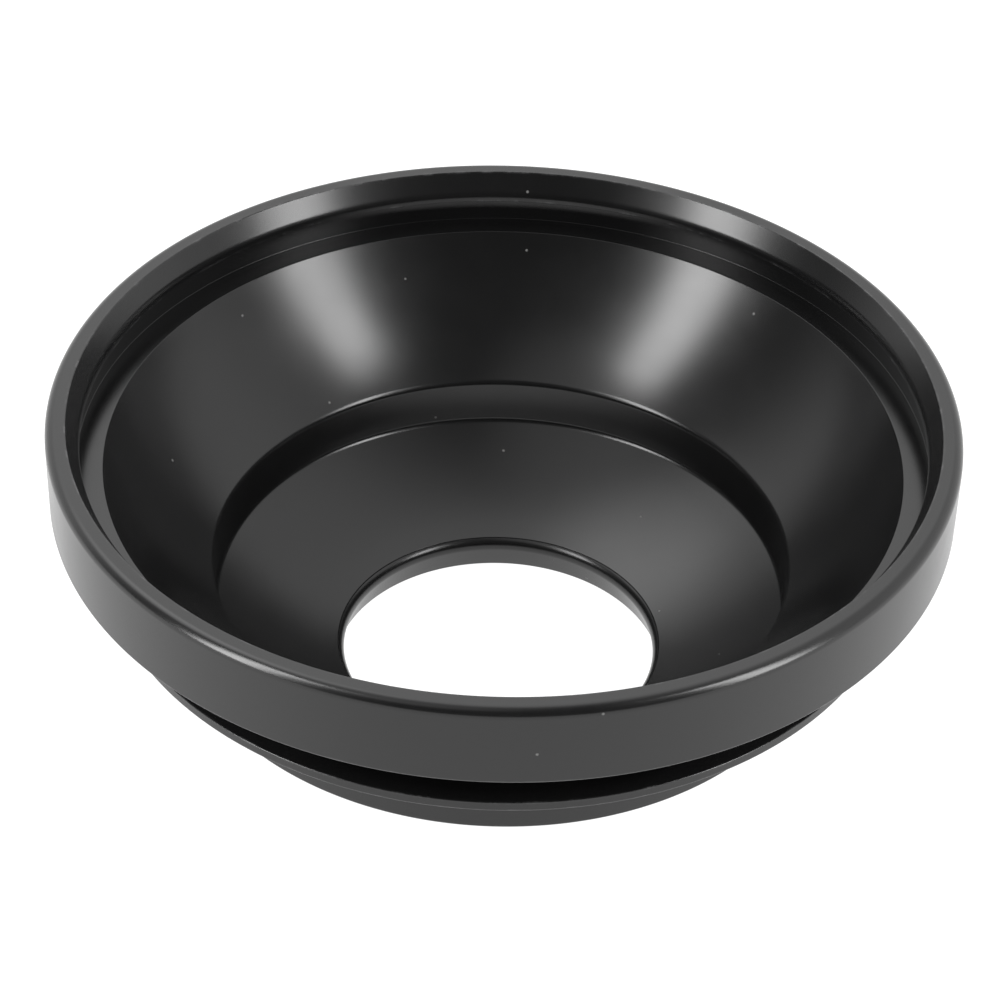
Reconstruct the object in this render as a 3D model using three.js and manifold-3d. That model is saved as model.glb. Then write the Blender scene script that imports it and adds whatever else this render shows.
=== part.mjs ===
// A turned-metal lens hood, standing on its rear foot with the wide mouth up.
// Units are millimetres. +Z is the optical axis and points out of the mouth.
// The origin is the centre of the rear foot face.
import * as THREE from "three";
import { mergeVertices } from "three/addons/utils/BufferGeometryUtils.js";
import Module from "manifold-3d";

const wasm = await Module();
wasm.setup();

// ---- Driving dimensions ----
const SIDES = 48; // facets round every ring
const GAP = 0.3; // clearance between two pieces that touch
const EDGE_BREAK = 0.4; // small chamfer on outer edges

const RIM_RADIUS = 57; // outside of the front rim
const RIM_TOP = 43.1; // overall height
const RIM_BOTTOM = 32.3;
const RIM_ROUNDING = 1.3; // outer top edge
const MOUTH_EDGE_RADIUS = 54.45; // inner edge of the flat top face
const MOUTH_CHAMFER_RADIUS = 53.05; // foot of the mouth's chamfer
const MOUTH_CHAMFER_DEPTH = 2.5;
const MOUTH_CHAMFER_RUNOUT = 0.6; // height in which the chamfer blends into the bore
const RECESS_RADIUS = 52.9; // bore of the rim, above the filter seat
const GROOVE_RADIUS = 53.6; // shallow groove in that bore, just above the seat
const GROOVE_TOP = 39.2;

const BOWL_CENTRE_Z = 63.7; // the flare and the floor are parts of spheres about this point
const FLARE_SPHERE = 57.35;
const FLOOR_SPHERE = 62.35;
const SHELL_THICKNESS = 3; // of the flare's wall

const SEAT_Z = 36; // flat filter seat at the top of the body
const THROAT_STEP_Z = 19.7; // lower end of the flare
const THROAT_STEP_BREAK = 0.3; // broken edge between the flare and the well

const STOP_RADIUS = 54.5; // shoulder that the front rim screws down to
const STOP_TOP = 34;
const STOP_BOTTOM = 32.8;

const FLANGE_RADIUS = 50.9;
const FLANGE_TOP = 23.5;
const FLANGE_BOTTOM = 22.2;
const FLANGE_BORE = 41.3;
const FLANGE_RECESS = 0.3; // shallow seat for the lock ring in the flange's underside

const LOCK_RADIUS = 42.2; // lock ring below the flange
const LOCK_BOTTOM = 11.1;
const LOCK_BORE = 40;

const WELL_RADIUS = 36.9; // vertical wall under the flare
const FLOOR_SEAT_Z = 14.9; // shoulder that the floor plate is held up against
const CELL_RADIUS = 38.1; // threaded bore below that shoulder
const BODY_BOTTOM = 9.3;

const HOLE_RADIUS = 20.4; // the clear aperture
const HOLE_FLARE_RADIUS = 21.7; // lower edge of the aperture
const FOOT_RADIUS = 27;
const FOOT_HEIGHT = 1.8;
const SLEEVE_RADIUS = 22.9; // threaded outside of the throat ring
const SLEEVE_TOP = 3.6; // shoulder that stops the throat ring under the floor
const LIP_RADIUS = 21.1; // outside of the throat ring's lip, level with the floor
const LIP_ROUNDING = 1.35; // round upper edge of the aperture, tangent to the dished floor
const LAND_Z = 3.4; // where the aperture starts to widen downwards

const FLOOR_THICKNESS = 2.6;
const FLOOR_FILLET_WIDTH = 0.8; // where the dished floor turns up into the wall of the well
const FLOOR_FILLET_HEIGHT = 0.95;
const BOSS_WIDTH = 2.6; // wall round the floor's threaded bore
const BOSS_BLEND = 1.2; // run from that wall into the dished underside
const UNDERSIDE_STEP = 0.8; // step from the dished underside out to the retaining ring
const RETAINER_INNER_RADIUS = 33.2;
const RETAINER_TOP = 10.7;
const RETAINER_BOTTOM = 7.7;
const SLOT_WIDTH = 2.4; // spanner slots
const SLOT_DEPTH = 1.1;
const SLOT_OVERRUN = 2; // how far the slot cutter runs past the ring each way

// ---- Materials ----
function blackAnodised(name, colour, roughness) {
  return new THREE.MeshStandardMaterial({
    name,
    color: colour,
    roughness,
    metalness: 0.6,
  });
}

// ---- Shape helpers ----
const at = (radius, z) => new THREE.Vector2(radius, z);

// Points along a quarter round from one angle to another, both in degrees.
function round(centreRadius, centreZ, size, from, to, steps = 3) {
  return Array.from({ length: steps + 1 }, (_, i) => {
    const a = THREE.MathUtils.degToRad(from + ((to - from) * i) / steps);
    return at(centreRadius + size * Math.cos(a), centreZ + size * Math.sin(a));
  });
}

// A closed ring from a section given anticlockwise, with radius to the right and Z up.
function ringGeometry(section) {
  const geometry = new THREE.LatheGeometry([...section, section[0].clone()], SIDES);
  geometry.rotateX(Math.PI / 2);
  return geometry;
}

function toSolid(geometry) {
  const bare = geometry.clone();
  bare.deleteAttribute("normal");
  bare.deleteAttribute("uv");
  const merged = mergeVertices(bare, 1e-4);
  return new wasm.Manifold(
    new wasm.Mesh({
      numProp: 3,
      vertProperties: new Float32Array(merged.attributes.position.array),
      triVerts: new Uint32Array(merged.index.array),
    }),
  );
}

function toGeometry(solid) {
  const mesh = solid.getMesh();
  const geometry = new THREE.BufferGeometry();
  geometry.setAttribute("position", new THREE.BufferAttribute(mesh.vertProperties, 3));
  geometry.setIndex(new THREE.BufferAttribute(mesh.triVerts, 1));
  geometry.computeVertexNormals();
  return geometry;
}

// Two spanner slots cut across the underside of a ring, on opposite sides.
function cutSpannerSlots(geometry, innerRadius, outerRadius, bottomZ) {
  const length = outerRadius - innerRadius + 2 * SLOT_OVERRUN;
  const middle = (outerRadius + innerRadius) / 2;
  let solid = toSolid(geometry);
  for (const side of [-1, 1]) {
    const slot = new THREE.BoxGeometry(length, SLOT_WIDTH, 2 * SLOT_DEPTH);
    slot.translate(side * middle, 0, bottomZ);
    solid = solid.subtract(toSolid(slot));
  }
  return toGeometry(solid);
}

function piece(name, geometry, material) {
  const mesh = new THREE.Mesh(geometry, material);
  mesh.name = name;
  return mesh;
}

// ---- Curves that several pieces share ----
// Height of a bowl sphere at a radius from the axis.
const bowlZ = (sphere, radius) => BOWL_CENTRE_Z - Math.sqrt(sphere ** 2 - radius ** 2);
const floorZ = (radius) => bowlZ(FLOOR_SPHERE, radius);
const lockTop = FLANGE_BOTTOM + FLANGE_RECESS - GAP;

// Points on a bowl sphere from one height to another.
function bowlArc(sphere, fromZ, toZ, steps) {
  const angleAt = (z) => Math.asin((z - BOWL_CENTRE_Z) / sphere);
  return Array.from({ length: steps + 1 }, (_, i) => {
    const a = THREE.MathUtils.lerp(angleAt(fromZ), angleAt(toZ), i / steps);
    return at(sphere * Math.cos(a), BOWL_CENTRE_Z + sphere * Math.sin(a));
  });
}

// ---- Pieces ----
// The front rim screws down over the body's collar. Its bore above the seat holds a filter or cap.
function frontRimRing() {
  const counterbore = STOP_RADIUS + GAP;
  const counterboreTop = STOP_TOP + GAP;
  return ringGeometry([
    at(RECESS_RADIUS, counterboreTop),
    at(counterbore, counterboreTop),
    at(counterbore, RIM_BOTTOM),
    at(RIM_RADIUS - EDGE_BREAK, RIM_BOTTOM),
    at(RIM_RADIUS, RIM_BOTTOM + EDGE_BREAK),
    ...round(RIM_RADIUS - RIM_ROUNDING, RIM_TOP - RIM_ROUNDING, RIM_ROUNDING, 0, 90),
    at(MOUTH_EDGE_RADIUS, RIM_TOP),
    at(MOUTH_CHAMFER_RADIUS, RIM_TOP - MOUTH_CHAMFER_DEPTH),
    at(RECESS_RADIUS, RIM_TOP - MOUTH_CHAMFER_DEPTH - MOUTH_CHAMFER_RUNOUT),
    at(RECESS_RADIUS, GROOVE_TOP),
    at(GROOVE_RADIUS, GROOVE_TOP),
    at(GROOVE_RADIUS, SEAT_Z),
    at(RECESS_RADIUS, SEAT_Z),
  ]);
}

// The body is the flare, the wall of the well under it, and the threads that the other pieces run on.
function hoodBody() {
  const collar = RECESS_RADIUS - GAP;
  const flangeSeat = FLANGE_TOP + GAP;
  const pilot = FLANGE_BORE - GAP;
  const threadTop = lockTop + GAP;
  const thread = LOCK_BORE - GAP;
  const shell = FLARE_SPHERE + SHELL_THICKNESS;
  return ringGeometry([
    at(CELL_RADIUS, BODY_BOTTOM),
    at(thread - EDGE_BREAK, BODY_BOTTOM),
    at(thread, BODY_BOTTOM + EDGE_BREAK),
    at(thread, threadTop),
    at(pilot, threadTop),
    at(pilot, flangeSeat),
    ...bowlArc(shell, flangeSeat, STOP_BOTTOM, 2),
    at(STOP_RADIUS, STOP_BOTTOM),
    at(STOP_RADIUS, STOP_TOP),
    at(collar, STOP_TOP),
    at(collar, SEAT_Z),
    ...bowlArc(FLARE_SPHERE, SEAT_Z, THROAT_STEP_Z, 4),
    at(WELL_RADIUS, THROAT_STEP_Z - THROAT_STEP_BREAK),
    at(WELL_RADIUS, FLOOR_SEAT_Z),
    at(CELL_RADIUS, FLOOR_SEAT_Z),
  ]);
}

// A thin flange that seats the hood on a panel. The lock ring holds it up against the body's shoulder.
function mountingFlange() {
  const edge = EDGE_BREAK / 2;
  const recessTop = FLANGE_BOTTOM + FLANGE_RECESS;
  return ringGeometry([
    at(FLANGE_BORE, recessTop),
    at(LOCK_RADIUS + GAP, recessTop),
    at(LOCK_RADIUS + GAP, FLANGE_BOTTOM),
    at(FLANGE_RADIUS - edge, FLANGE_BOTTOM),
    at(FLANGE_RADIUS, FLANGE_BOTTOM + edge),
    at(FLANGE_RADIUS, FLANGE_TOP - edge),
    at(FLANGE_RADIUS - edge, FLANGE_TOP),
    at(FLANGE_BORE, FLANGE_TOP),
  ]);
}

function lockRing() {
  return ringGeometry([
    at(LOCK_BORE, LOCK_BOTTOM),
    at(LOCK_RADIUS - EDGE_BREAK, LOCK_BOTTOM),
    at(LOCK_RADIUS, LOCK_BOTTOM + EDGE_BREAK),
    at(LOCK_RADIUS, lockTop),
    at(LOCK_BORE, lockTop),
  ]);
}

// The dished floor of the well, held from below against the body's inner shoulder.
function floorPlate() {
  const bore = SLEEVE_RADIUS + GAP;
  const boreTop = SLEEVE_TOP + GAP;
  const lipBore = LIP_RADIUS + GAP;
  const outer = CELL_RADIUS - GAP;
  const rimTop = FLOOR_SEAT_Z - GAP;
  const filletTop = floorZ(WELL_RADIUS) + FLOOR_FILLET_HEIGHT;
  const filletFoot = floorZ(WELL_RADIUS - FLOOR_FILLET_WIDTH);
  const boss = bore + BOSS_WIDTH;
  const underside = FLOOR_SPHERE + FLOOR_THICKNESS;
  const undersideStart = bowlZ(underside, boss + BOSS_BLEND);
  const undersideEnd = bowlZ(underside, RETAINER_INNER_RADIUS - UNDERSIDE_STEP);
  return ringGeometry([
    at(bore, FOOT_HEIGHT + GAP),
    at(boss, FOOT_HEIGHT + GAP),
    ...bowlArc(underside, undersideStart, undersideEnd, 2),
    at(RETAINER_INNER_RADIUS, RETAINER_TOP + GAP),
    at(outer, RETAINER_TOP + GAP),
    at(outer, rimTop),
    at(WELL_RADIUS, rimTop),
    at(WELL_RADIUS, filletTop),
    ...bowlArc(FLOOR_SPHERE, filletFoot, floorZ(lipBore), 4),
    at(lipBore, boreTop),
    at(bore, boreTop),
  ]);
}

// The throat ring screws up into the floor, lines the aperture and ends in the foot.
function throatRing() {
  const lipCentre = HOLE_RADIUS + LIP_ROUNDING;
  const lipCentreZ = bowlZ(FLOOR_SPHERE + LIP_ROUNDING, lipCentre);
  const lipStart = THREE.MathUtils.radToDeg(Math.acos((LIP_RADIUS - lipCentre) / LIP_ROUNDING));
  return ringGeometry([
    at(HOLE_FLARE_RADIUS, 0),
    at(FOOT_RADIUS - EDGE_BREAK, 0),
    at(FOOT_RADIUS, EDGE_BREAK),
    at(FOOT_RADIUS, FOOT_HEIGHT),
    at(SLEEVE_RADIUS, FOOT_HEIGHT),
    at(SLEEVE_RADIUS, SLEEVE_TOP),
    at(LIP_RADIUS, SLEEVE_TOP),
    ...round(lipCentre, lipCentreZ, LIP_ROUNDING, lipStart, 180),
    at(HOLE_RADIUS, LAND_Z),
  ]);
}

// The retaining ring screws up into the body and clamps the floor plate.
function retainingRing() {
  const outer = CELL_RADIUS - GAP;
  const ring = ringGeometry([
    at(RETAINER_INNER_RADIUS, RETAINER_BOTTOM),
    at(outer - EDGE_BREAK, RETAINER_BOTTOM),
    at(outer, RETAINER_BOTTOM + EDGE_BREAK),
    at(outer, RETAINER_TOP),
    at(RETAINER_INNER_RADIUS, RETAINER_TOP),
  ]);
  return cutSpannerSlots(ring, RETAINER_INNER_RADIUS, outer, RETAINER_BOTTOM);
}

// ---- Assembly ----
const hood = new THREE.Group();
hood.name = "lens_hood";
hood.add(
  piece("hood_body", hoodBody(), blackAnodised("body_black", 0x141414, 0.34)),
  piece("front_rim_ring", frontRimRing(), blackAnodised("rim_black", 0x161616, 0.32)),
  piece("mounting_flange", mountingFlange(), blackAnodised("flange_black", 0x161616, 0.33)),
  piece("lock_ring", lockRing(), blackAnodised("lock_ring_black", 0x151515, 0.33)),
  piece("floor_plate", floorPlate(), blackAnodised("floor_black", 0x131313, 0.38)),
  piece("throat_ring", throatRing(), blackAnodised("throat_black", 0x171717, 0.3)),
  piece("retaining_ring", retainingRing(), blackAnodised("retainer_black", 0x151515, 0.36)),
);

export default hood;
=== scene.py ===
"""A black anodised lens hood, turned from metal and standing on its rear foot.

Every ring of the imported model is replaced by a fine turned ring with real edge
roundings. Sections are in millimetres, radius first, and anticlockwise.
"""

import math

import bpy
import numpy as np
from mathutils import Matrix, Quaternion, Vector


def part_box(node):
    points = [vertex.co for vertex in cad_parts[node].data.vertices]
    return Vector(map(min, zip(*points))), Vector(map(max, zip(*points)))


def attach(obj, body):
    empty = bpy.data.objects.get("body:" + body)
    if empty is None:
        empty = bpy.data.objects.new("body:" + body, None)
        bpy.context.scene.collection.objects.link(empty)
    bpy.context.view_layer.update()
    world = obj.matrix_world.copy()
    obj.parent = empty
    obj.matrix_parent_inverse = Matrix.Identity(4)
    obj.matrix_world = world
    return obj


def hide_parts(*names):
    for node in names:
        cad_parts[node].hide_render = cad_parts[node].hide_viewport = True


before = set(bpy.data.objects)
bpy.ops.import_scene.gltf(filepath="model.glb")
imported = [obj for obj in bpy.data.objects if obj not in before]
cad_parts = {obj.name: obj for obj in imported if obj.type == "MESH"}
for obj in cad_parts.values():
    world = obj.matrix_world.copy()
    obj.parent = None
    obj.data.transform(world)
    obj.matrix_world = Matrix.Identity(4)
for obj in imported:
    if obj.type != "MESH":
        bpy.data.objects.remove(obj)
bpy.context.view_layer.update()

MM = 0.001
SIDES = 288  # steps round every ring
TINY = 0.06  # rounding left on an edge that looks sharp
BREAK = 0.18  # rounding of an edge that was broken with a file
SEAM = 0.08  # gap that shows between two screwed rings
FINE = 0.004  # gap and rounding of a seam that was turned over after the rings were joined
SHARP = 0.22  # an edge rounded less than this wears fully, and a rounder one wears less
WEAR_REACH = 0.22  # wear fades out this far from the rounding of its edge
ROOM = 0.82  # the most of a straight side that one rounding may take
FILLET_STEP = math.radians(8)  # turn between two points of a rounding


# ---- Sizes from the frame ----
def node_sizes(node):
    """(outer radius, lowest height, highest height) of a round node, in millimetres."""
    low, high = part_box(node)
    return high[0] / MM, low[2] / MM, high[2] / MM


RIM_R, RIM_LOW, RIM_TOP = node_sizes("front_rim_ring")
STOP_R, BODY_LOW, SEAT_Z = node_sizes("hood_body")
FLANGE_R, FLANGE_LOW, FLANGE_TOP = node_sizes("mounting_flange")
LOCK_R, LOCK_LOW, LOCK_TOP = node_sizes("lock_ring")
FLOOR_R, FLOOR_LOW, FLOOR_TOP = node_sizes("floor_plate")
FOOT_R, FOOT_LOW, _ = node_sizes("throat_ring")
RETAINER_R, RETAINER_LOW, RETAINER_TOP = node_sizes("retaining_ring")

# ---- Sizes that the boxes don't give, in millimetres ----
BOWL_CENTRE_Z = 63.7  # the flare and the floor are parts of spheres about this point
FLARE_SPHERE = 57.35
FLOOR_SPHERE = 62.35
SHELL = 3.0  # wall behind the flare
FLOOR_PLATE = 2.6  # wall under the floor
MOUTH_EDGE_R = 54.45  # the mouth's chamfer runs from here, on the rim's flat top,
MOUTH_FOOT_R = 53.05  # down to here
MOUTH_DEPTH = 2.5
MOUTH_RUNOUT = 0.6  # height over which the chamfer runs out into the recess
RECESS_R = 52.9
GROOVE_R = 53.6  # the groove above the seat
GROOVE_TOP = 39.2
STOP_TOP = 34.0  # the body's collar, which the rim screws onto
STOP_LOW = 32.8
WELL_R = 36.9
PILOT_R = 41.0  # the body's step inside the flange
LOCK_BORE = 40.0
FLANGE_BORE = 41.3
FLANGE_RECESS = 0.3  # depth of the recess that centres the lock ring
LOCK_PLAY = 0.15  # play of the lock ring in that recess
CELL_R = 38.1  # bore of the body round the floor plate
THROAT_ROUNDING = 1.15  # the edge between the flare and the well
FLOOR_FILLET = 0.9  # where the floor turns up into the wall of the well
HOLE_R = 20.4  # the aperture at its narrowest,
HOLE_FLARE_R = 21.7  # and at the foot
SLEEVE_R = 22.9  # outside of the throat ring, below this height,
SLEEVE_TOP = 3.6
LIP_R = 21.1  # and above it
LIP_ROUNDING = 1.35
BORE_SLOPE = math.radians(20)  # the aperture widens towards the foot
FOOT_HEIGHT = 1.8
BOSS_WIDTH = 2.9  # wall of the boss round the throat ring's sleeve
BOSS_BLEND = 1.2  # the curved underside starts this far outside the boss
UNDERSIDE_STEP = 0.8  # and ends this far inside the retaining ring's bore
RETAINER_BORE = 33.2
SLOT_WIDTH = 2.4  # the retaining ring's spanner slots
SLOT_DEPTH = 1.1
SLOT_OVERRUN = 2.0  # a slot's cutter reaches this far past each side of the ring


# ---- Turned rings ----
def bowl_z(sphere, radius):
    """Height of a bowl sphere at a radius from the axis."""
    return BOWL_CENTRE_Z - math.sqrt(sphere**2 - radius**2)


def bowl_arc(sphere, from_z, to_z, steps):
    """Section points along a bowl sphere, with no rounding of their own."""
    start = math.asin((from_z - BOWL_CENTRE_Z) / sphere)
    end = math.asin((to_z - BOWL_CENTRE_Z) / sphere)
    angles = np.linspace(start, end, steps + 1)
    return [(sphere * math.cos(a), BOWL_CENTRE_Z + sphere * math.sin(a), 0) for a in angles]


def unit(v):
    return v / np.linalg.norm(v)


def outward(edge):
    """The outward normal of an edge of an anticlockwise section."""
    return unit(np.array([edge[1], -edge[0]]))


def fillet(before, corner, after, size):
    """(point, normal, wear) round one corner of a section. Only convex edges that can be touched wear."""
    to_before, to_after = unit(before - corner), unit(after - corner)
    half = math.acos(np.clip(to_before @ to_after, -1, 1)) / 2
    run = size / math.tan(half)
    room = ROOM * min(np.linalg.norm(before - corner), np.linalg.norm(after - corner))
    if run > room:
        size, run = size * room / run, room
    centre = corner + unit(to_before + to_after) * size / math.sin(half)
    start, end = corner + to_before * run - centre, corner + to_after * run - centre
    turn = math.atan2(start[0] * end[1] - start[1] * end[0], start @ end)
    outside = 1 if turn > 0 else -1
    steps = max(3, round(abs(turn) / FILLET_STEP))
    worn = min(1.0, SHARP / size) if turn > 0 and size > TINY else 0.0
    made = []
    for a in np.linspace(0, turn, steps + 1):
        spoke = np.array([
            start[0] * math.cos(a) - start[1] * math.sin(a),
            start[0] * math.sin(a) + start[1] * math.cos(a),
        ])
        made.append((centre + spoke, outside * unit(spoke), worn))
    return made


def smooth_section(corners):
    """Rounds the corners (radius, z, rounding), and adds points that keep wear close to its edge."""
    points = [np.array(c[:2], float) for c in corners]
    made = []
    for i, (point, corner) in enumerate(zip(points, corners)):
        before, after = points[i - 1], points[(i + 1) % len(points)]
        if corner[2]:
            made += fillet(before, point, after, corner[2])
        else:
            normal = unit(outward(point - before) + outward(after - point))
            made.append((point, normal, 0.0))
    full = []
    for i, (point, normal, edge) in enumerate(made):
        full.append((point, normal, edge))
        following, next_normal, next_edge = made[(i + 1) % len(made)]
        length = np.linalg.norm(following - point)
        if length < 3 * WEAR_REACH:
            continue
        along = (following - point) / length
        if edge:
            full.append((point + along * WEAR_REACH, normal, 0.0))
        if next_edge:
            full.append((following - along * WEAR_REACH, next_normal, 0.0))
    return full


def turned_ring(name, corners):
    """A mesh object of a rounded section turned about Z, with exact normals."""
    section = smooth_section(corners)
    count = len(section)
    radius, height = np.array([s[0] for s in section]).T * MM
    normal_r, normal_z = np.array([s[1] for s in section]).T
    edge = np.array([s[2] for s in section])
    turn = np.linspace(0, 2 * math.pi, SIDES, endpoint=False)
    cos, sin = np.cos(turn)[:, None], np.sin(turn)[:, None]
    flat = np.ones((SIDES, 1))
    points = np.stack([cos * radius, sin * radius, flat * height], -1).reshape(-1, 3)
    normals = np.stack([cos * normal_r, sin * normal_r, flat * normal_z], -1).reshape(-1, 3)
    faces = []
    for i in range(SIDES):
        here, there = i * count, (i + 1) % SIDES * count
        for j in range(count):
            k = (j + 1) % count
            faces.append((here + j, there + j, there + k, here + k))
    mesh = bpy.data.meshes.new(name)
    mesh.from_pydata(points.tolist(), [], faces)
    mesh.polygons.foreach_set("use_smooth", [True] * len(faces))
    mark = mesh.attributes.new("edge_wear", "FLOAT", "POINT")
    mark.data.foreach_set("value", np.tile(edge, SIDES).astype(np.float32))
    mesh.validate()
    mesh.update()
    mesh.normals_split_custom_set_from_vertices(normals.tolist())
    made = bpy.data.objects.new(name, mesh)
    bpy.context.scene.collection.objects.link(made)
    return made


def fit(piece, node, body, material):
    """Puts a finished piece in the place of its CAD node."""
    piece.data.materials.clear()
    piece.data.materials.append(material)
    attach(piece, body)
    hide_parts(node)
    return piece


# ---- Materials ----
GROOVES = 9000.0  # detail of each texture, per metre: the tool's grooves,
GRAIN = 3200.0  # the grain of the anodising,
BLOTCH = 420.0  # patches of worn edge,
CLOUD = 55.0  # mottling,
DUST_CELLS = 420.0  # and the cells that a dust speck can lie in
CLEAN_CELLS = 0.955  # share of the cells with no speck
MOTTLING = 0.02  # how far the mottling changes the roughness
BUMP_DEPTH = 0.000004
WORN_GREY = (0.11, 0.11, 0.112, 1)
DUST_GREY = (0.2, 0.2, 0.195, 1)


class Nodes:
    """Short calls for building one node tree."""

    def __init__(self, tree):
        self.tree = tree

    def add(self, kind, **values):
        node = self.tree.nodes.new(kind)
        for key, value in values.items():
            setattr(node, key, value)
        return node

    def link(self, source, target):
        self.tree.links.new(source, target)
        return target

    def maths(self, operation, first, second=None, third=None):
        node = self.tree.nodes.new("ShaderNodeMath")
        node.operation = operation
        for socket, value in zip(node.inputs, (first, second, third)):
            if value is None:
                continue
            if isinstance(value, (int, float)):
                socket.default_value = value
            else:
                self.link(value, socket)
        return node.outputs[0]

    def ramp(self, value, low, high, to_low, to_high):
        node = self.tree.nodes.new("ShaderNodeMapRange")
        node.interpolation_type = "SMOOTHSTEP"
        for socket, number in zip(node.inputs[1:5], (low, high, to_low, to_high)):
            socket.default_value = number
        self.link(value, node.inputs[0])
        return node.outputs[0]


def anodised(name, shade, roughness):
    """Satin black anodising on turned metal: fine grooves, faint mottling, dust and worn edges."""
    material = bpy.data.materials.new(name)
    material.use_nodes = True
    tree = material.node_tree
    tree.nodes.clear()
    n = Nodes(tree)
    output = n.add("ShaderNodeOutputMaterial")
    shader = n.add("ShaderNodeBsdfPrincipled")
    n.link(shader.outputs[0], output.inputs[0])
    shader.inputs["IOR"].default_value = 1.5
    shader.inputs["Metallic"].default_value = 0.0

    place = n.add("ShaderNodeTexCoord").outputs["Object"]
    axes = n.add("ShaderNodeSeparateXYZ")
    n.link(place, axes.inputs[0])
    x, y, z = axes.outputs
    radius = n.maths("SQRT", n.maths("ADD", n.maths("MULTIPLY", x, x), n.maths("MULTIPLY", y, y)))

    # Grooves follow the turning tool, so they change quickly across a ring and slowly round it.
    lathe = n.add("ShaderNodeCombineXYZ")
    n.link(n.maths("DIVIDE", x, radius), lathe.inputs[0])
    n.link(n.maths("DIVIDE", y, radius), lathe.inputs[1])
    n.link(n.maths("MULTIPLY", z, GROOVES), lathe.inputs[2])
    groove = n.add("ShaderNodeTexNoise", noise_dimensions="4D")
    groove.inputs["Scale"].default_value = 1.0
    groove.inputs["Detail"].default_value = 2.0
    n.link(lathe.outputs[0], groove.inputs["Vector"])
    n.link(n.maths("MULTIPLY", radius, GROOVES), groove.inputs["W"])

    def noise(scale, detail, rough):
        texture = n.add("ShaderNodeTexNoise")
        texture.inputs["Scale"].default_value = scale
        texture.inputs["Detail"].default_value = detail
        texture.inputs["Roughness"].default_value = rough
        n.link(place, texture.inputs["Vector"])
        return texture.outputs["Fac"]

    grain = noise(GRAIN, 2.0, 0.5)
    cloud = noise(CLOUD, 4.0, 0.6)
    blotch = noise(BLOTCH, 3.0, 0.6)

    # Dust lies in a few small specks.
    specks = n.add("ShaderNodeTexVoronoi", feature="F1")
    specks.inputs["Scale"].default_value = DUST_CELLS
    n.link(place, specks.inputs["Vector"])
    chance = n.add("ShaderNodeSeparateColor")
    n.link(specks.outputs["Color"], chance.inputs[0])
    near = n.ramp(specks.outputs["Distance"], 0.04, 0.11, 1.0, 0.0)
    dust = n.maths("MULTIPLY", near, n.maths("GREATER_THAN", chance.outputs[0], CLEAN_CELLS))

    # Wear shows in patches on the edges that turned_ring marked.
    wear_mark = n.add("ShaderNodeAttribute", attribute_name="edge_wear").outputs["Fac"]
    patches = n.ramp(blotch, 0.45, 0.75, 0.1, 1.0)
    wear = n.maths("MULTIPLY", n.maths("POWER", wear_mark, 2.0), patches)

    tone = n.add("ShaderNodeMix", data_type="RGBA")
    tone.inputs["A"].default_value = (shade * 0.75, shade * 0.75, shade * 0.77, 1)
    tone.inputs["B"].default_value = (shade * 1.3, shade * 1.3, shade * 1.32, 1)
    n.link(cloud, tone.inputs["Factor"])
    worn = n.add("ShaderNodeMix", data_type="RGBA")
    worn.inputs["B"].default_value = WORN_GREY
    n.link(n.maths("MULTIPLY", wear, 0.35), worn.inputs["Factor"])
    n.link(tone.outputs["Result"], worn.inputs["A"])
    dusty = n.add("ShaderNodeMix", data_type="RGBA")
    dusty.inputs["B"].default_value = DUST_GREY
    n.link(n.maths("MULTIPLY", dust, 0.6), dusty.inputs["Factor"])
    n.link(worn.outputs["Result"], dusty.inputs["A"])
    n.link(dusty.outputs["Result"], shader.inputs["Base Color"])

    satin = n.ramp(cloud, 0.3, 0.7, roughness - MOTTLING, roughness + MOTTLING)
    n.link(n.maths("ADD", satin, n.maths("MULTIPLY", dust, 0.3)), shader.inputs["Roughness"])

    height = n.maths("ADD", groove.outputs["Fac"], n.maths("MULTIPLY", grain, 0.5))
    bump = n.add("ShaderNodeBump")
    bump.inputs["Strength"].default_value = 0.2
    bump.inputs["Distance"].default_value = BUMP_DEPTH
    n.link(height, bump.inputs["Height"])
    n.link(bump.outputs[0], shader.inputs["Normal"])
    return material


body_black = anodised("body_black", 0.0036, 0.24)
rim_black = anodised("rim_black", 0.004, 0.24)
flange_black = anodised("flange_black", 0.004, 0.25)
lock_black = anodised("lock_ring_black", 0.004, 0.25)
floor_black = anodised("floor_black", 0.0036, 0.24)
throat_black = anodised("throat_black", 0.0045, 0.25)
retainer_black = anodised("retainer_black", 0.0045, 0.30)


# ---- Pieces ----
def make_front_rim():
    counterbore = STOP_R + SEAM
    section = [
        (RECESS_R, STOP_TOP + SEAM, TINY),
        (counterbore, STOP_TOP + SEAM, TINY),
        (counterbore, RIM_LOW, BREAK),
        (RIM_R, RIM_LOW, 0.3),
        (RIM_R, RIM_TOP, 1.3),
        (MOUTH_EDGE_R, RIM_TOP, BREAK),
        (MOUTH_FOOT_R, RIM_TOP - MOUTH_DEPTH, 2.0),
        (RECESS_R, RIM_TOP - MOUTH_DEPTH - MOUTH_RUNOUT, 2.0),
        (RECESS_R, GROOVE_TOP, 0.1),
        (GROOVE_R, GROOVE_TOP, TINY),
        (GROOVE_R, SEAT_Z, TINY),
        (RECESS_R, SEAT_Z, FINE),
    ]
    return fit(turned_ring("rim_ring", section), "front_rim_ring", "front_rim", rim_black)


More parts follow.
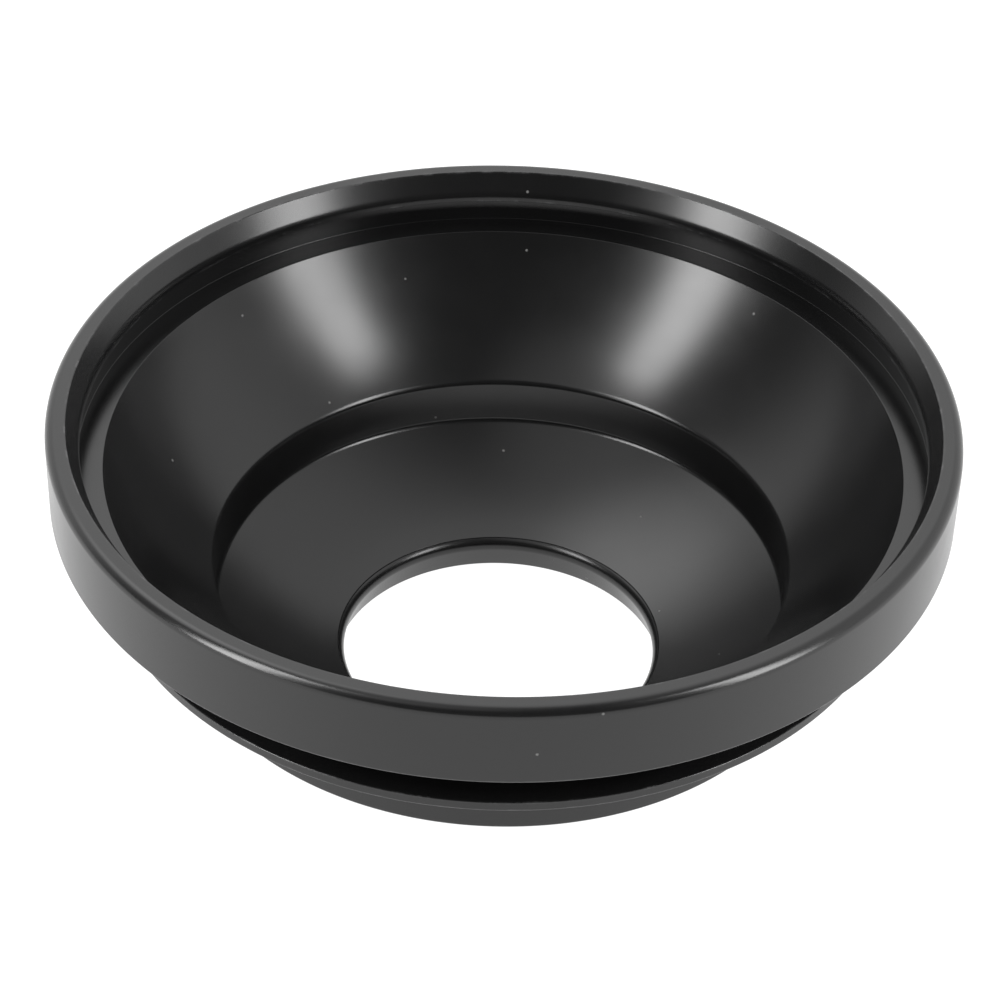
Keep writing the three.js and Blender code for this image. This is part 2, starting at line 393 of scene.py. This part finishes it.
def make_body():
    collar = RECESS_R - FINE
    shell = FLARE_SPHERE + SHELL
    thread = LOCK_BORE - SEAM
    seat = FLANGE_TOP + SEAM
    cell_top = FLOOR_TOP + FINE
    flare = bowl_arc(FLARE_SPHERE, SEAT_Z, bowl_z(FLARE_SPHERE, WELL_R), 16)
    flare[0] = (*flare[0][:2], TINY)
    flare[-1] = (*flare[-1][:2], THROAT_ROUNDING)
    outside = bowl_arc(shell, seat, STOP_LOW, 20)
    outside[0] = (*outside[0][:2], 0.3)
    outside[-1] = (*outside[-1][:2], 0.5)
    section = [
        (CELL_R, BODY_LOW, BREAK),
        (thread, BODY_LOW, 0.35),
        (thread, LOCK_TOP + SEAM, TINY),
        (PILOT_R, LOCK_TOP + SEAM, TINY),
        (PILOT_R, seat, TINY),
        *outside,
        (STOP_R, STOP_LOW, BREAK),
        (STOP_R, STOP_TOP, TINY),
        (collar, STOP_TOP, TINY),
        (collar, SEAT_Z, FINE),
        *flare,
        (WELL_R, cell_top, FINE),
        (CELL_R, cell_top, TINY),
    ]
    return fit(turned_ring("flare_shell", section), "hood_body", "body", body_black)


def make_flange():
    recess_top = FLANGE_LOW + FLANGE_RECESS
    section = [
        (FLANGE_BORE, recess_top, TINY),
        (LOCK_R + LOCK_PLAY, recess_top, TINY),
        (LOCK_R + LOCK_PLAY, FLANGE_LOW, TINY),
        (FLANGE_R, FLANGE_LOW, 0.2),
        (FLANGE_R, FLANGE_TOP, 0.12),
        (FLANGE_BORE, FLANGE_TOP, TINY),
    ]
    return fit(turned_ring("flange_ring", section), "mounting_flange", "body", flange_black)


def make_lock_ring():
    section = [
        (LOCK_BORE, LOCK_LOW, BREAK),
        (LOCK_R, LOCK_LOW, 0.35),
        (LOCK_R, LOCK_TOP, BREAK),
        (LOCK_BORE, LOCK_TOP, TINY),
    ]
    return fit(turned_ring("clamp_ring", section), "lock_ring", "lock", lock_black)


def make_floor():
    bore = SLEEVE_R + SEAM
    bore_top = SLEEVE_TOP + SEAM
    lip_bore = LIP_R + SEAM
    underside = FLOOR_SPHERE + FLOOR_PLATE
    boss = SLEEVE_R + BOSS_WIDTH
    under_start = bowl_z(underside, boss + BOSS_BLEND)
    under_end = bowl_z(underside, RETAINER_BORE - UNDERSIDE_STEP)
    under = bowl_arc(underside, under_start, under_end, 16)
    dish = bowl_arc(FLOOR_SPHERE, bowl_z(FLOOR_SPHERE, WELL_R), bowl_z(FLOOR_SPHERE, lip_bore), 7)
    dish[0] = (*dish[0][:2], FLOOR_FILLET)
    dish[-1] = (*dish[-1][:2], TINY)
    section = [
        (bore, FLOOR_LOW, BREAK),
        (boss, FLOOR_LOW, 0.4),
        *under,
        (RETAINER_BORE, RETAINER_TOP + SEAM, 0.3),
        (FLOOR_R, RETAINER_TOP + SEAM, BREAK),
        (FLOOR_R, FLOOR_TOP, TINY),
        (WELL_R, FLOOR_TOP, FINE),
        *dish,
        (lip_bore, bore_top, TINY),
        (bore, bore_top, TINY),
    ]
    return fit(turned_ring("dished_floor", section), "floor_plate", "body", floor_black)


def make_throat():
    # The lip is one arc that leaves the floor's sphere and ends along the widening aperture.
    lip_centre_r = HOLE_R + LIP_ROUNDING
    lip_centre_z = bowl_z(FLOOR_SPHERE + LIP_ROUNDING, lip_centre_r)
    first = math.acos((LIP_R - lip_centre_r) / LIP_ROUNDING)
    turns = np.linspace(first, math.pi + BORE_SLOPE, 14)
    lip = [
        (lip_centre_r + LIP_ROUNDING * math.cos(a), lip_centre_z + LIP_ROUNDING * math.sin(a), 0)
        for a in turns
    ]
    lip[0] = (*lip[0][:2], 0.02)
    section = [
        (HOLE_FLARE_R, FOOT_LOW, BREAK),
        (FOOT_R, FOOT_LOW, 0.35),
        (FOOT_R, FOOT_HEIGHT, 0.3),
        (SLEEVE_R, FOOT_HEIGHT, TINY),
        (SLEEVE_R, SLEEVE_TOP, TINY),
        (LIP_R, SLEEVE_TOP, TINY),
        *lip,
    ]
    return fit(turned_ring("throat_bush", section), "throat_ring", "throat", throat_black)


def make_retainer():
    """The retaining ring, with its two spanner slots cut from the turned ring."""
    section = [
        (RETAINER_BORE, RETAINER_LOW, 0.3),
        (RETAINER_R, RETAINER_LOW, 0.35),
        (RETAINER_R, RETAINER_TOP, BREAK),
        (RETAINER_BORE, RETAINER_TOP, BREAK),
    ]
    ring = turned_ring("retainer_ring_slotted", section)
    middle = (RETAINER_BORE + RETAINER_R) / 2
    length = RETAINER_R - RETAINER_BORE + 2 * SLOT_OVERRUN
    for side in (-1, 1):
        bpy.ops.mesh.primitive_cube_add(size=1, location=(side * middle * MM, 0, RETAINER_LOW * MM))
        cutter = bpy.context.object
        cutter.scale = (length * MM, SLOT_WIDTH * MM, 2 * SLOT_DEPTH * MM)
        cut = ring.modifiers.new("slot", "BOOLEAN")
        cut.object = cutter
        cut.solver = "EXACT"
        bpy.context.view_layer.update()
        bpy.context.view_layer.objects.active = ring
        bpy.ops.object.modifier_apply(modifier=cut.name)
        bpy.data.objects.remove(cutter)
    return fit(ring, "retaining_ring", "retainer", retainer_black)


make_front_rim()
make_body()
make_flange()
make_lock_ring()
make_floor()
make_throat()
make_retainer()


# ---- Floor, lights and camera ----
def make_ground():
    """A pale, faintly lit table top."""
    bpy.ops.mesh.primitive_circle_add(vertices=96, radius=6.0, fill_type="NGON", location=(0, 0, -0.0001))
    ground = bpy.context.object
    ground.name = "table_top"
    material = bpy.data.materials.new("table_white")
    material.use_nodes = True
    shader = material.node_tree.nodes["Principled BSDF"]
    shader.inputs["Base Color"].default_value = (0.15, 0.15, 0.15, 1)
    shader.inputs["Roughness"].default_value = 0.7
    shader.inputs["Emission Color"].default_value = (1, 1, 1, 1)
    shader.inputs["Emission Strength"].default_value = 1.0
    ground.data.materials.append(material)


# Soft glows of the studio's ceiling: direction, reach in degrees and strength.
SKY_GLOWS = [
    ((-0.1, 0.5, 0.83), 34, 0.8),
    ((-0.45, 0.34, 0.83), 25, 1.6),
    ((-0.28, -0.33, 0.9), 26, 0.7),
]


def make_world():
    """A bright studio behind the object that falls off towards the camera's side."""
    world = bpy.data.worlds.new("studio")
    bpy.context.scene.world = world
    world.use_nodes = True
    tree = world.node_tree
    tree.nodes.clear()
    n = Nodes(tree)
    sky = n.add("ShaderNodeTexCoord").outputs["Generated"]
    axes = n.add("ShaderNodeSeparateXYZ")
    n.link(sky, axes.inputs[0])
    x, y, _ = axes.outputs
    side = n.maths("ADD", y, n.maths("MULTIPLY", x, 0.2))
    glow = n.ramp(side, -0.35, 0.35, 0.09, 1.24)
    for direction, reach, strength in SKY_GLOWS:
        toward = n.add("ShaderNodeVectorMath", operation="DOT_PRODUCT")
        n.link(sky, toward.inputs[0])
        toward.inputs[1].default_value = Vector(direction).normalized()
        part = n.ramp(toward.outputs["Value"], math.cos(math.radians(reach)), 1.0, 0.0, strength)
        glow = n.maths("ADD", glow, part)
    seen = n.add("ShaderNodeBackground")
    seen.inputs["Strength"].default_value = 1.0
    around = n.add("ShaderNodeBackground")
    n.link(glow, around.inputs["Strength"])
    mix = n.add("ShaderNodeMixShader")
    n.link(n.add("ShaderNodeLightPath").outputs["Is Camera Ray"], mix.inputs[0])
    n.link(around.outputs[0], mix.inputs[1])
    n.link(seen.outputs[0], mix.inputs[2])
    for node in (seen, around):
        node.inputs["Color"].default_value = (1, 1, 1, 1)
    n.link(mix.outputs[0], n.add("ShaderNodeOutputWorld").inputs[0])


def make_softbox(name, azimuth, low, high, width, distance, radiance):
    """A tall box of light. Azimuth is measured from the camera's side towards +X, in degrees."""
    height = distance * (math.tan(math.radians(high)) - math.tan(math.radians(low)))
    middle = distance * (math.tan(math.radians(high)) + math.tan(math.radians(low))) / 2
    a = math.radians(azimuth)
    light = bpy.data.lights.new(name, "AREA")
    light.shape = "RECTANGLE"
    light.size = width
    light.size_y = height
    light.energy = radiance * math.pi * width * height
    made = bpy.data.objects.new(name, light)
    made.location = (distance * math.sin(a), -distance * math.cos(a), middle)
    facing = Vector((made.location.x, made.location.y, 0))
    made.rotation_mode = "QUATERNION"
    made.rotation_quaternion = facing.to_track_quat("Z", "Y")
    made.visible_camera = False
    bpy.context.scene.collection.objects.link(made)


def make_camera():
    """The main camera, placed round the middle of the front face of the rim."""
    distance, elevation, roll = 0.394, math.radians(36.37), math.radians(1.576)
    front_centre = Vector((0, 0, RIM_TOP * MM))
    aim = Vector((-0.0003, 0, 0.02806))
    data = bpy.data.cameras.new("camera")
    data.sensor_width = 36.0
    data.lens = 113.7
    data.clip_start = 0.01
    made = bpy.data.objects.new("camera", data)
    made.location = front_centre + distance * Vector((0, -math.cos(elevation), math.sin(elevation)))
    look = (aim - made.location).to_track_quat("-Z", "Y")
    made.rotation_mode = "QUATERNION"
    made.rotation_quaternion = look @ Quaternion((0, 0, 1), roll)
    bpy.context.scene.collection.objects.link(made)
    bpy.context.scene.camera = made


make_ground()
make_world()
make_softbox("right_softbox", 60, 6, 51, 0.18, 0.6, 12.5)
make_softbox("left_softbox", -58.5, 6, 54, 0.18, 0.6, 13.8)
make_camera()
bpy.context.scene.view_settings.view_transform = "Standard"
